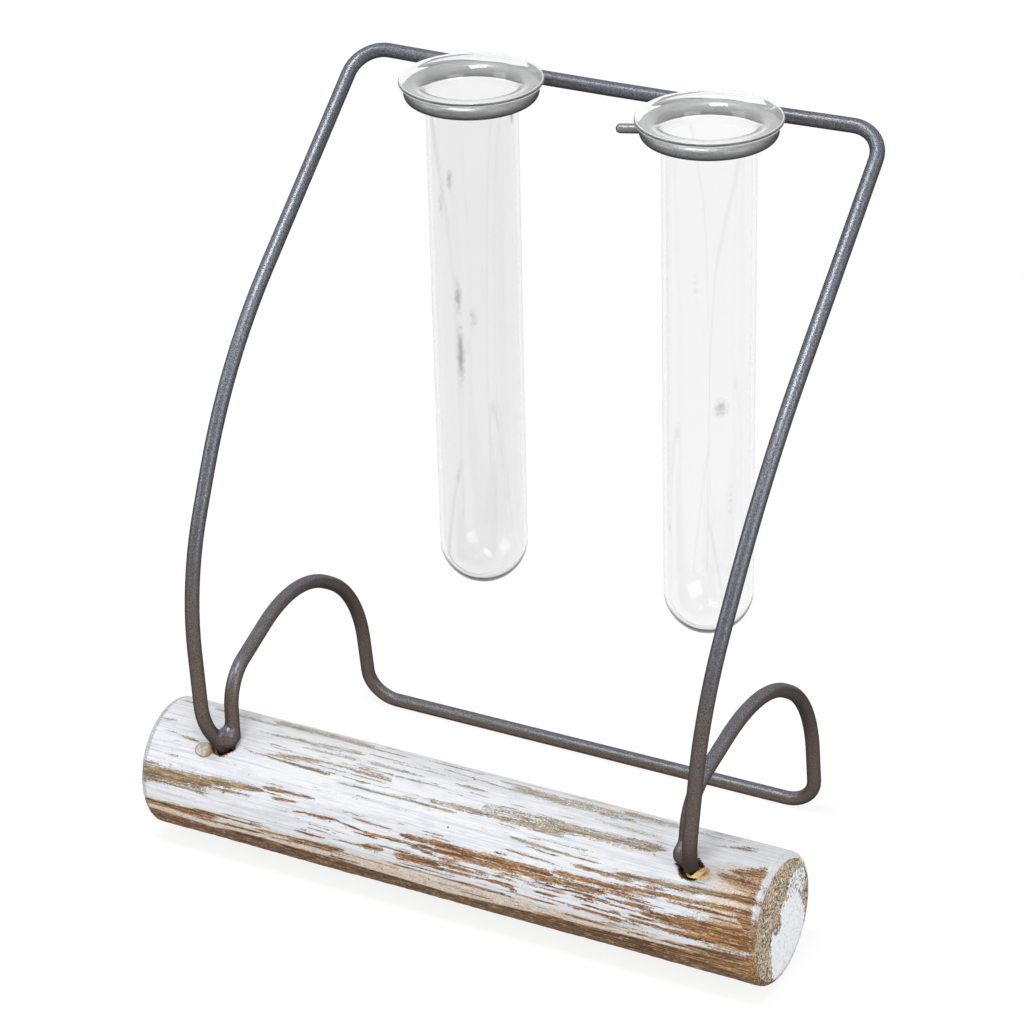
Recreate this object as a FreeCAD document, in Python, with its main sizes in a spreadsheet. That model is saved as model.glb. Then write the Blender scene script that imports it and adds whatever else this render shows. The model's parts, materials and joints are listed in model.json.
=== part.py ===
import FreeCAD, Part
import math
import os
import Sketcher

# Test tube vase: a log base, a bent wire frame with two rings, and two flared glass tubes.
# Millimetres. X runs along the log, Y to the back, Z up, with the table at Z = 0. The origin
# is on the table, below the middle of the object's length and depth.

SIZES = {
    # log, with saw cuts a little out of square and its drilled holes
    "log_diameter": 36,
    "log_length": 184,
    "log_edge_round": 1.6,
    "left_saw_tilt": 3.1,
    "right_saw_tilt": 2.2,
    "right_saw_yaw": 2.6,
    "hole_inset": 21.8,
    "hole_tilt": 30.4,
    "hole_diameter": 6,
    "hole_depth": 16,
    "glue_length": 13,
    # wire of the frame, its tight corners, and the bow's bends at the holes' mouths
    "wire_diameter": 4,
    "corner_bend": 9,
    "mouth_bend": 16,
    # bow wire: where its bends lie, outward of the holes and behind the log's axis
    "leg_rise": 11.4,
    "leg_out": 1.8,
    "belly_out": 4.5,
    "belly_depth": -13.5,
    "belly_height": 85.2,
    "shoulder_out": 7.2,
    "shoulder_depth": 17.1,
    "shoulder_height": 136.8,
    "bar_out": 7,
    "bar_depth": 96.3,
    "bar_height": 199.4,
    "bar_sag": 1.2,
    # foot wire: inside the bow's legs, over the top of its arch and down to the table
    "foot_inset": 2.7,
    "foot_set_back": 2,
    "foot_end_gap": 0.4,
    "riser_inset": 2,
    "riser_set_back": 3.3,
    "riser_height": 53,
    "arch_out": 0.2,
    "arch_depth": 35.2,
    "arch_height": 64.5,
    "drop_out": 0.9,
    "drop_depth": 70.6,
    "drop_height": 40.8,
    "foot_out": 1.1,
    "foot_depth": 76.5,
    # rings welded to the front of the top bar, and the cut end that the right one keeps
    "ring_clearance": 1.7,
    "ring_rise": 1.4,
    "ring_weld_gap": 0.05,
    "left_ring_offset": -32.6,
    "right_ring_offset": 36.2,
    "left_ring_lean": 0.3,
    "right_ring_lean": 0.7,
    "tail_diameter": 2.6,
    "tail_length": 6,
    "tail_angle": 200,
    # weld beads
    "ring_bead_length": 7,
    "ring_bead_width": 5,
    "left_bead_shift": 1.5,
    "right_bead_shift": -3,
    "foot_bead_length": 7.6,
    "foot_bead_width": 6.6,
    "foot_bead_rise": 1.9,
    "right_bead_extra": 0.8,
    # glass tubes
    "tube_diameter": 25,
    "tube_length": 152,
    "glass_wall": 1.2,
    "rim_overhang": 7,
    "throat_radius": 5,
    "seat_gap": 0.2,
    # cutting tools: how far they reach past what they cut, and the length of a saw cut's block
    "overrun": 5,
    "saw_block": 20,
}

# share of the shorter run beside a bend that its arc takes up
BEND_SHARE = 0.48

V = FreeCAD.Vector
X_AXIS = V(1, 0, 0)
Y_AXIS = V(0, 1, 0)
Z_AXIS = V(0, 0, 1)

doc = FreeCAD.newDocument("test_tube_vase")
sheet = doc.addObject("Spreadsheet::Sheet", "Sizes")
for row, (alias, value) in enumerate(SIZES.items(), start=1):
    sheet.set(f"A{row}", alias)
    sheet.set(f"B{row}", str(value))
    sheet.setAlias(f"B{row}", alias)
doc.recompute()


def size(alias):
    return float(sheet.get(alias))


def bound(kind, name, **expressions):
    # an object whose properties follow the sheet
    thing = doc.addObject(kind, name)
    for prop, expression in expressions.items():
        thing.setExpression(prop, expression)
    return thing


def along(direction):
    # rotation that turns Z into the given direction
    return FreeCAD.Rotation(Z_AXIS, direction)


def cut(name, base, tool):
    result = doc.addObject("Part::Cut", name)
    result.Base = base
    result.Tool = tool
    return result


# places worked out from the sizes

wire_radius = size("wire_diameter") / 2
log_radius = size("log_diameter") / 2
hole_tilt = math.radians(size("hole_tilt"))

# the log's front and the top bar's back are equally far from the origin
log_axis_y = (log_radius - size("bar_depth") - wire_radius) / 2
bar_y = log_axis_y + size("bar_depth")

# the holes are drilled towards the log's axis, tilted forward from its top
hole_out = V(0, -math.sin(hole_tilt), math.cos(hole_tilt))
hole_half = size("log_length") / 2 - size("hole_inset")


def outward(side, alias):
    # a place across the log, a named size outward of the hole on that side
    return side * (hole_half + size(alias))


def log_axis_point(half_width=0):
    return V(half_width, log_axis_y, log_radius)


def hole_mouth(side):
    return log_axis_point(side * hole_half) + hole_out * log_radius


def hole_bottom(side):
    return hole_mouth(side) - hole_out * size("hole_depth")


def log_top_at(depth):
    # height of the log's skin at a place behind its axis
    return log_radius + math.sqrt(log_radius ** 2 - depth ** 2)


# wires: straight runs joined by tangent arcs

def bent_wire(points, bends):
    # bends holds the radius of a tight bend by its point's number, and any other bend is as
    # gentle as its two runs allow
    runs = [b - a for a, b in zip(points, points[1:])]
    edges = []
    start = points[0]
    for number in range(1, len(points) - 1):
        before = runs[number - 1]
        after = runs[number]
        turn = before.getAngle(after)
        reach = BEND_SHARE * min(before.Length, after.Length)
        if number in bends:
            reach = bends[number] * math.tan(turn / 2)
        arc_start = points[number] - V(before).normalize() * reach
        arc_end = points[number] + V(after).normalize() * reach
        radius = reach / math.tan(turn / 2)
        inward = (arc_start + arc_end) / 2 - points[number]
        to_centre = math.hypot(radius, reach)
        middle = points[number] + inward.normalize() * (to_centre - radius)
        edges.append(Part.LineSegment(start, arc_start).toShape())
        edges.append(Part.Arc(arc_start, middle, arc_end).toShape())
        start = arc_end
    edges.append(Part.LineSegment(start, points[-1]).toShape())
    return Part.Wire(edges)


def swept_wire(name, points, bends):
    path = doc.addObject("Part::Feature", name + "_path")
    path.Shape = bent_wire(points, bends)
    section = bound("Part::Circle", name + "_section", Radius="Sizes.wire_diameter / 2")
    section.Placement = FreeCAD.Placement(points[0], along(points[1] - points[0]))
    sweep = doc.addObject("Part::Sweep", name)
    sweep.Sections = [section]
    sweep.Spine = (path, [f"Edge{n + 1}" for n in range(len(path.Shape.Edges))])
    sweep.Solid = True
    sweep.Frenet = False
    doc.recompute()
    expected = path.Shape.Length * math.pi * wire_radius ** 2
    print(name, "length", round(path.Shape.Length, 1),
          "volume share", round(sweep.Shape.Volume / expected, 4))
    return sweep


def bow_half(side):
    leg = hole_mouth(side) + hole_out * size("leg_rise")
    leg.x = outward(side, "leg_out")
    belly = V(outward(side, "belly_out"), log_axis_y + size("belly_depth"),
              size("belly_height"))
    shoulder = V(outward(side, "shoulder_out"), log_axis_y + size("shoulder_depth"),
                 size("shoulder_height"))
    corner = V(outward(side, "bar_out"), bar_y, size("bar_height"))
    return [hole_bottom(side), hole_mouth(side), leg, belly, shoulder, corner]


def make_bow_wire():
    left = bow_half(-1)
    right = bow_half(1)
    middle = V(0, bar_y, size("bar_height") - size("bar_sag"))
    points = left + [middle] + right[::-1]
    mouth_bend = size("mouth_bend")
    corner_bend = size("corner_bend")
    last = len(points) - 1
    corner = len(left) - 1
    bends = {1: mouth_bend, last - 1: mouth_bend, corner: corner_bend, last - corner: corner_bend}
    return swept_wire("bow_wire", points, bends)


def foot_end(side):
    # the cut end stands just above the log's skin, inside the bow's leg and behind it
    depth = hole_mouth(side).y - log_axis_y + size("foot_set_back")
    height = log_top_at(min(depth + wire_radius, 0)) + size("foot_end_gap")
    return V(side * (hole_half - size("foot_inset")), log_axis_y + depth, height)


def make_foot_wire():
    halves = []
    for side in (-1, 1):
        end = foot_end(side)
        riser = V(side * (hole_half - size("riser_inset")),
                  hole_mouth(side).y + size("riser_set_back"), size("riser_height"))
        arch = V(outward(side, "arch_out"), log_axis_y + size("arch_depth"),
                 size("arch_height"))
        drop = V(outward(side, "drop_out"), log_axis_y + size("drop_depth"),
                 size("drop_height"))
        corner = V(outward(side, "foot_out"), log_axis_y + size("foot_depth"), wire_radius)
        halves.append([end, riser, arch, drop, corner])
    left, right = halves
    points = left + right[::-1]
    corner = len(left) - 1
    corner_bend = size("corner_bend")
    return swept_wire("foot_wire", points, {corner: corner_bend, corner + 1: corner_bend})


# log: a cylinder with two saw cuts, two drilled holes and worn end edges

def saw_cut(name, side, tilt, yaw):
    block = bound("Part::Box", name, Length="Sizes.saw_block",
                  Width="Sizes.log_diameter * 2", Height="Sizes.log_diameter * 2")
    turn = FreeCAD.Rotation(Z_AXIS, yaw) * FreeCAD.Rotation(Y_AXIS, tilt)
    corner = V(0 if side > 0 else -size("saw_block"),
               -size("log_diameter"), -size("log_diameter"))
    face = log_axis_point(side * size("log_length") / 2)
    block.Placement = FreeCAD.Placement(face + turn.multVec(corner), turn)
    return block


def drill(side, name):
    tool = bound("Part::Cylinder", name, Radius="Sizes.hole_diameter / 2",
                 Height="Sizes.hole_depth + Sizes.overrun")
    tool.Placement = FreeCAD.Placement(hole_bottom(side), along(hole_out))
    return tool


def make_log():
    raw = bound("Part::Cylinder", "log_raw", Radius="Sizes.log_diameter / 2",
                Height="Sizes.log_length + 2 * Sizes.overrun")
    start = log_axis_point(-size("log_length") / 2 - size("overrun"))
    raw.Placement = FreeCAD.Placement(start, along(X_AXIS))
    sawn = cut("log_sawn_left", raw, saw_cut("left_saw", -1, -size("left_saw_tilt"), 0))
    sawn = cut("log_sawn", sawn,
               saw_cut("right_saw", 1, -size("right_saw_tilt"), -size("right_saw_yaw")))
    drilled = cut("log_drilled_left", sawn, drill(-1, "left_drill"))
    drilled = cut("log_drilled", drilled, drill(1, "right_drill"))
    doc.recompute()
    worn = doc.addObject("Part::Fillet", "log")
    worn.Base = drilled
    round_size = size("log_edge_round")
    near_end = size("log_length") / 2 - size("log_diameter") / 4
    worn.Edges = [(number, round_size, round_size)
                  for number, edge in enumerate(drilled.Shape.Edges, start=1)
                  if abs(edge.CenterOfMass.x) > near_end and edge.isClosed()
                  and edge.BoundBox.YLength > log_radius]
    return worn


# glue around each peg, in the lower part of its hole

def make_glue(side, name):
    outer = bound("Part::Cylinder", name + "_outer", Radius="Sizes.hole_diameter / 2",
                  Height="Sizes.glue_length")
    inner = bound("Part::Cylinder", name + "_inner", Radius="Sizes.wire_diameter / 2",
                  Height="Sizes.glue_length + 2 * Sizes.overrun")
    turn = along(hole_out)
    outer.Placement = FreeCAD.Placement(hole_bottom(side), turn)
    inner.Placement = FreeCAD.Placement(hole_bottom(side) - hole_out * size("overrun"), turn)
    return cut(name, outer, inner)


# rings, in front of the top bar and touching it, each a clearance wider than its tube

tube_radius = size("tube_diameter") / 2
ring_radius = tube_radius + size("ring_clearance") + wire_radius
ring_back = wire_radius * 2 + size("ring_weld_gap")
ring_y = bar_y - ring_radius - math.sqrt(ring_back ** 2 - size("ring_rise") ** 2)


def bar_height_at(offset):
    # the top bar sags towards its middle
    share = min(abs(offset) / outward(1, "bar_out"), 1)
    return size("bar_height") - size("bar_sag") * (1 - share)


def ring_place(side_name):
    offset = size(side_name + "_ring_offset")
    turn = FreeCAD.Rotation(Y_AXIS, -size(side_name + "_ring_lean"))
    centre = V(offset, ring_y, bar_height_at(offset) + size("ring_rise"))
    return FreeCAD.Placement(centre, turn)


def make_ring(side_name, name):
    wire = "Sizes.wire_diameter / 2"
    ring = bound("Part::Torus", name, Radius2=wire,
                 Radius1=f"Sizes.tube_diameter / 2 + Sizes.ring_clearance + {wire}")
    ring.Placement = ring_place(side_name)
    return ring


def make_tailed_ring():
    ring = make_ring("right", "right_ring_loop")
    place = ring_place("right")
    away = FreeCAD.Rotation(Z_AXIS, size("tail_angle")).multVec(X_AXIS)
    tip = ring_radius + wire_radius + size("tail_length") - size("tail_diameter") / 2
    rod = bound("Part::Cylinder", "tail_rod", Radius="Sizes.tail_diameter / 2",
                Height="Sizes.tail_length + Sizes.wire_diameter / 2 - Sizes.tail_diameter / 2")
    rod.Placement = place * FreeCAD.Placement(away * ring_radius, along(away))
    end = bound("Part::Sphere", "tail_end", Radius="Sizes.tail_diameter / 2")
    end.Placement = place * FreeCAD.Placement(away * tip, FreeCAD.Rotation())
    tail = doc.addObject("Part::Fuse", "tail")
    tail.Base = rod
    tail.Tool = end
    tailed = doc.addObject("Part::Fuse", "right_ring")
    tailed.Base = ring
    tailed.Tool = tail
    return tailed


# weld beads: short round-ended runs of metal that stop at the wires that they join

def make_bead(name, kind, centre, direction, neighbours):
    length = size(kind + "_length")
    width = size(kind + "_width")
    half_run = direction * ((length - width) / 2)
    run = bound("Part::Cylinder", name + "_run", Radius=f"Sizes.{kind}_width / 2",
                Height=f"Sizes.{kind}_length - Sizes.{kind}_width")
    run.Placement = FreeCAD.Placement(centre - half_run, along(direction))
    parts = [run]
    for label, place in (("_start", centre - half_run), ("_end", centre + half_run)):
        ball = bound("Part::Sphere", name + label, Radius=f"Sizes.{kind}_width / 2")
        ball.Placement = FreeCAD.Placement(place, along(direction))
        parts.append(ball)
    shaped = doc.addObject("Part::MultiFuse", name + "_raw")
    shaped.Shapes = parts
    for number, neighbour in enumerate(neighbours, start=1):
        label = name if number == len(neighbours) else f"{name}_fitted_{number}"
        shaped = cut(label, shaped, neighbour)
    return shaped


def make_ring_bead(side_name, name, ring, bar):
    shift = size(side_name + "_bead_shift")
    offset = size(side_name + "_ring_offset") + shift
    reach = math.sqrt(ring_radius ** 2 - shift ** 2)
    height = bar_height_at(offset) + size("ring_rise") / 2
    centre = V(offset, (bar_y + ring_y + reach) / 2, height)
    return make_bead(name, "ring_bead", centre, X_AXIS, [ring, bar])


def make_foot_bead(side, name, extra, wood, bow, foot):
    # half way between the bow's leg and the foot wire's end, just above the log
    end = foot_end(side)
    rise = (end.z - hole_mouth(side).z) / hole_out.z
    leg = hole_mouth(side) + hole_out * rise
    up = V(0, 0, size("foot_bead_rise"))
    inward = V(-side * extra, 0, 0)
    return make_bead(name, "foot_bead", (end + leg) / 2 + up + inward, Z_AXIS,
                     [wood, bow, foot])


# glass tube, turned about its own axis: the sketch's origin is level with the throat's centre

def origin_plane(body, role):
    return next(f for f in body.Origin.OriginFeatures if f.Role == role)


def tube_profile(body, name):
    outer = tube_radius
    wall = size("glass_wall")
    inner = outer - wall
    throat = size("throat_radius")
    lip_x = outer + size("rim_overhang") - wall / 2
    throat_x = outer + throat
    top = throat + wall
    ball = top - size("tube_length") + outer
    sketch = body.newObject("Sketcher::SketchObject", name)
    sketch.AttachmentSupport = [(origin_plane(body, "XZ_Plane"), "")]
    sketch.MapMode = "FlatFace"
    quarter = math.pi / 2

    def arc(x, y, radius, first, last):
        circle = Part.Circle(V(x, y, 0), Z_AXIS, radius)
        return sketch.addGeometry(Part.ArcOfCircle(circle, first, last))

    def line(x_a, y_a, x_b, y_b):
        return sketch.addGeometry(Part.LineSegment(V(x_a, y_a, 0), V(x_b, y_b, 0)))

    ball_out = arc(0, ball, outer, -quarter, 0)
    side_out = line(outer, ball, outer, 0)
    throat_out = arc(throat_x, 0, throat, quarter, 2 * quarter)
    lip_under = line(throat_x, throat, lip_x, throat)
    lip = arc(lip_x, throat + wall / 2, wall / 2, -quarter, quarter)
    lip_over = line(lip_x, top, throat_x, top)
    throat_in = arc(throat_x, 0, top, quarter, 2 * quarter)
    side_in = line(inner, 0, inner, ball)
    ball_in = arc(0, ball, inner, -quarter, 0)
    foot = line(0, ball - inner, 0, ball - outer)

    start, end, centre = 1, 2, 3
    across, upright = -1, -2
    rules = []

    def rule(*parts):
        rules.append(Sketcher.Constraint(*parts))

    for first, first_end, second, second_end in (
            (ball_out, end, side_out, start), (side_out, end, throat_out, end),
            (throat_out, start, lip_under, start), (lip_under, end, lip, start),
            (lip, end, lip_over, start), (lip_over, end, throat_in, start),
            (throat_in, end, side_in, start), (side_in, end, ball_in, end),
            (ball_in, start, foot, start), (foot, end, ball_out, start),
            (ball_in, centre, ball_out, centre), (throat_in, centre, throat_out, centre)):
        rule("Coincident", first, first_end, second, second_end)
    for piece, place in ((ball_out, centre), (foot, start), (foot, end)):
        rule("PointOnObject", piece, place, upright)
    for piece, place in ((throat_out, centre), (throat_out, end), (throat_in, end)):
        rule("PointOnObject", piece, place, across)
    for piece in (side_out, side_in):
        rule("Vertical", piece)
    for piece in (lip_under, lip_over):
        rule("Horizontal", piece)
    for piece, place in ((throat_out, start), (throat_in, start), (lip, start), (lip, end)):
        rule("Vertical", piece, place, piece, centre)
    for piece in (ball_out, ball_in):
        rule("Horizontal", piece, end, piece, centre)
    sketch.addConstraint(rules)
    driven = (
        (Sketcher.Constraint("Radius", ball_out, outer), "Sizes.tube_diameter / 2"),
        (Sketcher.Constraint("Radius", throat_out, throat), "Sizes.throat_radius"),
        (Sketcher.Constraint("Radius", throat_in, top), "Sizes.throat_radius + Sizes.glass_wall"),
        (Sketcher.Constraint("DistanceY", ball_out, start, lip_over, end, size("tube_length")),
         "Sizes.tube_length"),
        (Sketcher.Constraint("DistanceX", across, start, lip, centre, lip_x),
         "Sizes.tube_diameter / 2 + Sizes.rim_overhang - Sizes.glass_wall / 2"),
    )
    for constraint, expression in driven:
        number = sketch.addConstraint(constraint)
        sketch.setExpression(f"Constraints[{number}]", expression)
    return sketch


def make_tube(side_name, name):
    body = doc.addObject("PartDesign::Body", name)
    sketch = tube_profile(body, name + "_profile")
    turned = body.newObject("PartDesign::Revolution", name + "_turned")
    turned.Profile = sketch
    turned.ReferenceAxis = (sketch, ["V_Axis"])
    turned.Angle = 360
    body.Tip = turned
    # the throat rests on the ring's upper inner side, so its centre lies below the ring's plane
    reach = size("throat_radius") - wire_radius - size("seat_gap")
    aside = tube_radius + size("throat_radius") - ring_radius
    drop = math.sqrt(reach ** 2 - aside ** 2)
    place = ring_place(side_name)
    body.Placement = place * FreeCAD.Placement(V(0, 0, -drop), FreeCAD.Rotation())
    return body


def build():
    log = make_log()
    bow = make_bow_wire()
    foot = make_foot_wire()
    left_ring = make_ring("left", "left_ring")
    right_ring = make_tailed_ring()
    pieces = {
        "log": log,
        "bow_wire": bow,
        "foot_wire": foot,
        "left_ring": left_ring,
        "right_ring": right_ring,
        "left_ring_weld": make_ring_bead("left", "left_ring_weld", left_ring, bow),
        "right_ring_weld": make_ring_bead("right", "right_ring_weld", right_ring, bow),
        "left_foot_weld": make_foot_bead(-1, "left_foot_weld", 0, log, bow, foot),
        "right_foot_weld": make_foot_bead(1, "right_foot_weld", size("right_bead_extra"),
                                          log, bow, foot),
        "left_glue": make_glue(-1, "left_glue"),
        "right_glue": make_glue(1, "right_glue"),
        "left_tube": make_tube("left", "left_tube"),
        "right_tube": make_tube("right", "right_tube"),
    }
    doc.recompute()
    return pieces


def check_and_write(pieces):
    for thing in doc.Objects:
        if "Invalid" in thing.State or "Error" in thing.State:
            raise RuntimeError(f"{thing.Name} failed: {thing.State}")
    os.makedirs("parts", exist_ok=True)
    for name, piece in pieces.items():
        piece.Label = name
        shape = piece.Shape
        if shape.isNull() or not shape.isValid() or len(shape.Solids) != 1:
            raise RuntimeError(f"{name} is not one valid solid: {len(shape.Solids)}")
        print(name, "volume", round(shape.Volume, 1))
    for name, piece in pieces.items():
        piece.Shape.exportStep(os.path.join("parts", name + ".step"))


check_and_write(build())
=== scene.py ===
import json
import random
from functools import partial, reduce
from math import cos, degrees, hypot, pi, radians, sin, sqrt

import bpy
import numpy as np
from mathutils import Matrix, Vector, noise
from mathutils.bvhtree import BVHTree


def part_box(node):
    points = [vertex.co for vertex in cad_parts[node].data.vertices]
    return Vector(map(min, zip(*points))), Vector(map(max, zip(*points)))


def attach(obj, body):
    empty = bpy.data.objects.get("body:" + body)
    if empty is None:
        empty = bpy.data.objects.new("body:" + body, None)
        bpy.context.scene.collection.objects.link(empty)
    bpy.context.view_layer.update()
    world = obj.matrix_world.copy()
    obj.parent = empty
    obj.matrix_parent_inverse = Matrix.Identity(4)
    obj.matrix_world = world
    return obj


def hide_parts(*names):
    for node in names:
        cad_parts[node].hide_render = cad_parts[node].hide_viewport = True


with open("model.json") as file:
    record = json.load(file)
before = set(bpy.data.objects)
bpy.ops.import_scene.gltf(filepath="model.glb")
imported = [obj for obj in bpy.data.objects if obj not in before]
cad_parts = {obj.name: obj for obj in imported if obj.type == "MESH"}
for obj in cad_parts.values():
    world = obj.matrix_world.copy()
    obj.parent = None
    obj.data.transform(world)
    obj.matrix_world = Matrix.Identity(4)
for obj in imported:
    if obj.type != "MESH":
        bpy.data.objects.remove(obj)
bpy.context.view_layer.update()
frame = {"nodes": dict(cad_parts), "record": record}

# Test tube vase, dressed: the whitewashed log with its worn streaks, the painted wires with their
# welds, and the two glass tubes. Metres, in the frame's own axes: X along the log, Y to the back.

mounts = {mount["name"]: mount for mount in frame["record"]["mounts"]}


def mm(value):
    return value / 1000


def turns(count):
    # angles spread evenly over a full turn
    return [2 * pi * number / count for number in range(count)]


def add_object(name, data):
    item = bpy.data.objects.new(name, data)
    bpy.context.scene.collection.objects.link(item)
    return item


# camera, at the photograph's place

CAMERA_PLACE = (0.34632, -0.69330, 0.51703)
CAMERA_AZIMUTH = 26.84
CAMERA_ELEVATION = 28.41
CAMERA_ROLL = 1.05
CAMERA_LENS = 115.446


def make_camera():
    azimuth = radians(CAMERA_AZIMUTH)
    elevation = radians(CAMERA_ELEVATION)
    back = Vector((sin(azimuth) * cos(elevation),
                   -cos(azimuth) * cos(elevation), sin(elevation)))
    right = Vector((cos(azimuth), sin(azimuth), 0))
    upright = Matrix((right, back.cross(right), back)).transposed()
    camera = add_object("camera", bpy.data.cameras.new("camera"))
    camera.data.lens = CAMERA_LENS
    turn = upright @ Matrix.Rotation(radians(-CAMERA_ROLL), 3, "Z")
    camera.matrix_world = Matrix.Translation(CAMERA_PLACE) @ turn.to_4x4()
    bpy.context.scene.camera = camera


# meshes

def add_mesh(name, vertices, faces, **values):
    # values are numbers at the vertices, which a material reads by their name
    mesh = bpy.data.meshes.new(name)
    mesh.from_pydata([tuple(v) for v in vertices], [], faces)
    mesh.validate()
    mesh.shade_smooth()
    for key, numbers in values.items():
        layer = mesh.attributes.new(key, "FLOAT", "POINT")
        layer.data.foreach_set("value", np.asarray(numbers, "f4"))
    return add_object(name, mesh)


def ring_faces(rows, columns):
    # quads between closed rings with the same number of points
    faces = []
    for first in range(0, (rows - 1) * columns, columns):
        for column in range(columns):
            a, b = first + column, first + (column + 1) % columns
            faces.append((a, b, b + columns, a + columns))
    return faces


def pole_faces(rows, columns, poles):
    # triangles that close the first and the last ring, each onto its own point
    last = (rows - 1) * columns
    faces = []
    for column in range(columns):
        after = (column + 1) % columns
        faces.append((poles, after, column))
        faces.append((poles + 1, last + column, last + after))
    return faces


def smooth_step(low, high, value):
    # 0 up to low and 1 from high on, also where high is the smaller of the two
    share = np.clip((value - low) / (high - low), 0, 1)
    return share * share * (3 - 2 * share)


# materials: helpers first, then one function for each

class Nodes:
    # the nodes of a material or the world
    def __init__(self, tree):
        self.tree = tree

    def add(self, kind, inputs=None, **settings):
        node = self.tree.nodes.new("ShaderNode" + kind)
        for key, value in settings.items():
            setattr(node, key, value)
        for key, value in (inputs or {}).items():
            self.plug(node.inputs[key], value)
        return node

    def plug(self, socket, value):
        if isinstance(value, bpy.types.NodeSocket):
            self.tree.links.new(value, socket)
        elif socket.type == "RGBA":
            socket.default_value = (*value, 1)
        else:
            socket.default_value = value

    def math(self, operation, a, b):
        return self.add("Math", {0: a, 1: b}, operation=operation).outputs[0]

    def plus(self, *values):
        return reduce(partial(self.math, "ADD"), values)

    def times(self, *values):
        return reduce(partial(self.math, "MULTIPLY"), values)

    def most(self, *values):
        return reduce(partial(self.math, "MAXIMUM"), values)

    def step(self, value, low, high, top=1.0):
        # 0 up to low and top from high on, smoothly between
        ends = {"Value": value, "From Min": low, "From Max": high, "To Max": top}
        return self.add("MapRange", ends, interpolation_type="SMOOTHSTEP").outputs["Result"]

    def spread(self, value, low, high):
        # a value from 0 to 1 as one from low to high
        ends = {"Value": value, "To Min": low, "To Max": high}
        return self.add("MapRange", ends).outputs["Result"]

    def mix(self, share, a, b):
        return self.add("Mix", {0: share, 6: a, 7: b}, data_type="RGBA").outputs[2]

    def blend(self, share, a, b):
        return self.add("MixShader", {0: share, 1: a, 2: b}).outputs[0]


class Graph(Nodes):
    # the nodes of a new material
    def __init__(self, name):
        self.material = bpy.data.materials.new(name)
        self.material.use_nodes = True
        super().__init__(self.material.node_tree)
        self.surface = self.tree.nodes["Principled BSDF"]
        coordinates = self.add("TexCoord").outputs
        self.place = coordinates["Object"]
        self.normal = coordinates["Normal"]

    def grain(self, size, detail, shift=0.0):
        # noise whose features have this size in mm, along the log and across it
        length, width = mm(size[0]), mm(size[1])
        scales = (1 / length, 1 / width, 1 / width)
        scaled = self.add("VectorMath", {0: self.place, 1: scales, 2: (shift, shift, shift)},
                          operation="MULTIPLY_ADD").outputs[0]
        return self.add("TexNoise", {"Vector": scaled, "Scale": 1, "Detail": detail,
                                     "Roughness": 0.6}).outputs["Fac"]

    def pits(self, spacing):
        # distance to scattered points, as a share of their spacing, and each one's colour
        node = self.add("TexVoronoi", {"Vector": self.place, "Scale": 1 / mm(spacing)})
        return node.outputs["Distance"], node.outputs["Color"]

    def height(self, vector):
        return self.add("SeparateXYZ", {0: vector}).outputs["Z"]

    def painted(self, name):
        return self.add("Attribute", attribute_name=name).outputs["Fac"]

    def colours(self, value, stops):
        node = self.add("ValToRGB", {"Fac": value})
        elements = node.color_ramp.elements
        while len(elements) < len(stops):
            elements.new(1)
        for element, (place, colour) in zip(elements, stops):
            element.position = place
            element.color = (*colour, 1)
        return node.outputs["Color"]

    def bump(self, height, depth):
        normal = self.add("Bump", {"Height": height, "Distance": mm(depth)}).outputs["Normal"]
        self.plug(self.surface.inputs["Normal"], normal)
        return normal

    def finish(self, colour, roughness, **constants):
        self.plug(self.surface.inputs["Base Color"], colour)
        self.plug(self.surface.inputs["Roughness"], roughness)
        for key, value in constants.items():
            self.surface.inputs[key.replace("_", " ")].default_value = value
        return self.material

    def show(self, shader):
        self.plug(self.tree.nodes["Material Output"].inputs["Surface"], shader)


def rgb(red, green, blue):
    # a screen's colour, 0 to 255, as the renderer's linear one
    def linear(value):
        share = value / 255
        return share / 12.92 if share <= 0.04045 else ((share + 0.055) / 1.055) ** 2.4
    return (linear(red), linear(green), linear(blue))


COOL_WHITE = rgb(233, 235, 238)
GREY_WHITE = rgb(208, 213, 221)
THIN_PAINT = rgb(218, 198, 178)
STAINED_PAINT = rgb(176, 138, 102)
GRIMY_PAINT = rgb(140, 143, 152)
DARK_WOOD = rgb(58, 39, 26)
PALE_WOOD = rgb(232, 208, 172)
END_YELLOW = rgb(178, 146, 104)
# painted glint on the glue drop
GLUE_AMBER_GLINT = rgb(196, 128, 62)
# painted shade around the glue drop's edge
GLUE_EDGE_SHADE = rgb(96, 72, 52)
GLASS_CLEAR = rgb(243, 243, 243)
GLASS_CLEARER = rgb(249, 249, 249)
# painted shade at the glass's edges
GLASS_EDGE_SHADE = rgb(219, 221, 223)
# the colour of smudges on the glass, and of the painted dark line on the lips
GLASS_SMUDGE_AND_LINE_SHADE = rgb(120, 121, 123)
# painted highlight along the tubes' lips
GLASS_LIP_HIGHLIGHT = rgb(240, 241, 242)
GLASS_SHADOW = (0.93, 0.93, 0.93)
SLATE = rgb(60, 58, 62)
# painted shade at the wires' edges and undersides, and the colour of their dark flecks
SLATE_SHADE_AND_FLECKS = rgb(54, 51, 52)
SLATE_BROWN = rgb(68, 60, 56)
SLATE_DULL = rgb(98, 80, 65)
SLATE_SHINE = rgb(226, 238, 255)
RING_GREY = rgb(105, 105, 105)
# painted shade at the rings' edges, and the colour of their dark flecks
RING_SHADE_AND_FLECKS = rgb(66, 66, 66)
RING_WARM = rgb(97, 96, 94)
RING_SHINE = rgb(238, 239, 241)
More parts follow.
